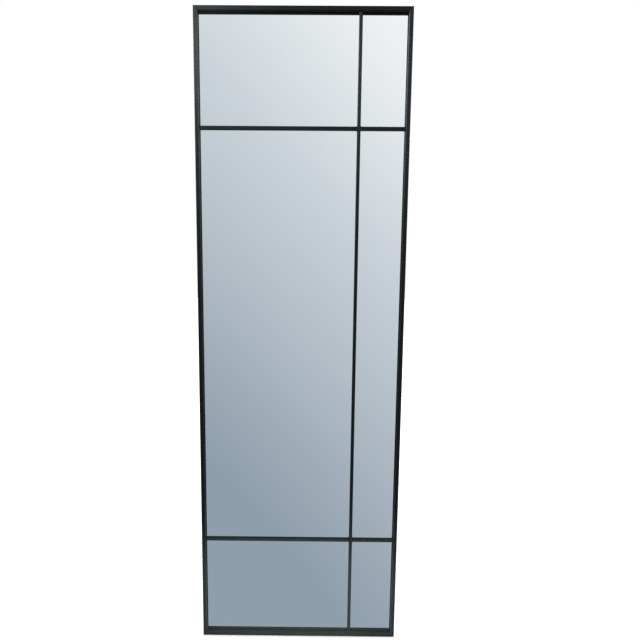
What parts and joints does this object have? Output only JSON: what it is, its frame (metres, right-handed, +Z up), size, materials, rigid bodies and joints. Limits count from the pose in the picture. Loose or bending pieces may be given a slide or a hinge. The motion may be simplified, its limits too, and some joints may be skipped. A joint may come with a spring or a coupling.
{
  "type": "leaning floor mirror",
  "caption": "Tall leaning floor mirror in a slim black metal frame, with recessed glass behind off-centre window-style bars; it stands on rubber pads and leans on a wall.",
  "frame": {"origin": "on the floor, under the middle of the mirror's bounding box, with the mirror standing upright on its foot pads", "axes": "+Z up along the mirror's height; -Y is the front, where the glass faces; +Y is the back, towards the wall; +X is to the right as seen from the front"},
  "size_m": [0.58, 0.035, 1.792],
  "materials": {
    "frame_powder_coat": "satin charcoal-black powder coat with a faint orange-peel",
    "lattice_powder_coat": "satin charcoal-black powder coat, the same as the frame's",
    "silvered_glass": "clear float glass silvered on its back, with a faint cool tint",
    "liner_foam": "matt charcoal closed-cell foam",
    "backing_fibreboard": "raw brown fibreboard, smooth face",
    "clip_zinc": "bright zinc plate on pressed steel",
    "screw_zinc": "bright zinc plate",
    "hanger_zinc": "bright zinc plate on pressed steel",
    "bumper_rubber": "matt black rubber",
    "foot_rubber": "matt black rubber",
    "setting_rubber": "matt black rubber"
  },
  "bodies": {
    "root": {"backing_board": "backing_fibreboard", "bottom_rail": "frame_powder_coat", "bottom_rail_clip_1": "clip_zinc", "bottom_rail_clip_1_screw": "screw_zinc", "bottom_rail_clip_2": "clip_zinc", "bottom_rail_clip_2_screw": "screw_zinc", "foam_liner": "liner_foam", "foot_pad_left": "foot_rubber", "foot_pad_right": "foot_rubber", "hanger_plate_left": "hanger_zinc", "hanger_plate_left_screw_1": "screw_zinc", "hanger_plate_left_screw_2": "screw_zinc", "hanger_plate_right": "hanger_zinc", "hanger_plate_right_screw_1": "screw_zinc", "hanger_plate_right_screw_2": "screw_zinc", "left_stile": "frame_powder_coat", "left_stile_clip_1": "clip_zinc", "left_stile_clip_1_screw": "screw_zinc", "left_stile_clip_2": "clip_zinc", "left_stile_clip_2_screw": "screw_zinc", "left_stile_clip_3": "clip_zinc", "left_stile_clip_3_screw": "screw_zinc", "left_stile_clip_4": "clip_zinc", "left_stile_clip_4_screw": "screw_zinc", "lower_bar_left": "lattice_powder_coat", "lower_bar_right": "lattice_powder_coat", "lower_bumper_left": "bumper_rubber", "lower_bumper_right": "bumper_rubber", "mirror_glass": "silvered_glass", "right_stile": "frame_powder_coat", "right_stile_clip_1": "clip_zinc", "right_stile_clip_1_screw": "screw_zinc", "right_stile_clip_2": "clip_zinc", "right_stile_clip_2_screw": "screw_zinc", "right_stile_clip_3": "clip_zinc", "right_stile_clip_3_screw": "screw_zinc", "right_stile_clip_4": "clip_zinc", "right_stile_clip_4_screw": "screw_zinc", "setting_block_left": "setting_rubber", "setting_block_right": "setting_rubber", "top_rail": "frame_powder_coat", "top_rail_clip_1": "clip_zinc", "top_rail_clip_1_screw": "screw_zinc", "top_rail_clip_2": "clip_zinc", "top_rail_clip_2_screw": "screw_zinc", "upper_bar_left": "lattice_powder_coat", "upper_bar_right": "lattice_powder_coat", "upper_bumper_left": "bumper_rubber", "upper_bumper_right": "bumper_rubber", "vertical_bar": "lattice_powder_coat"}
  },
  "joints": []
}
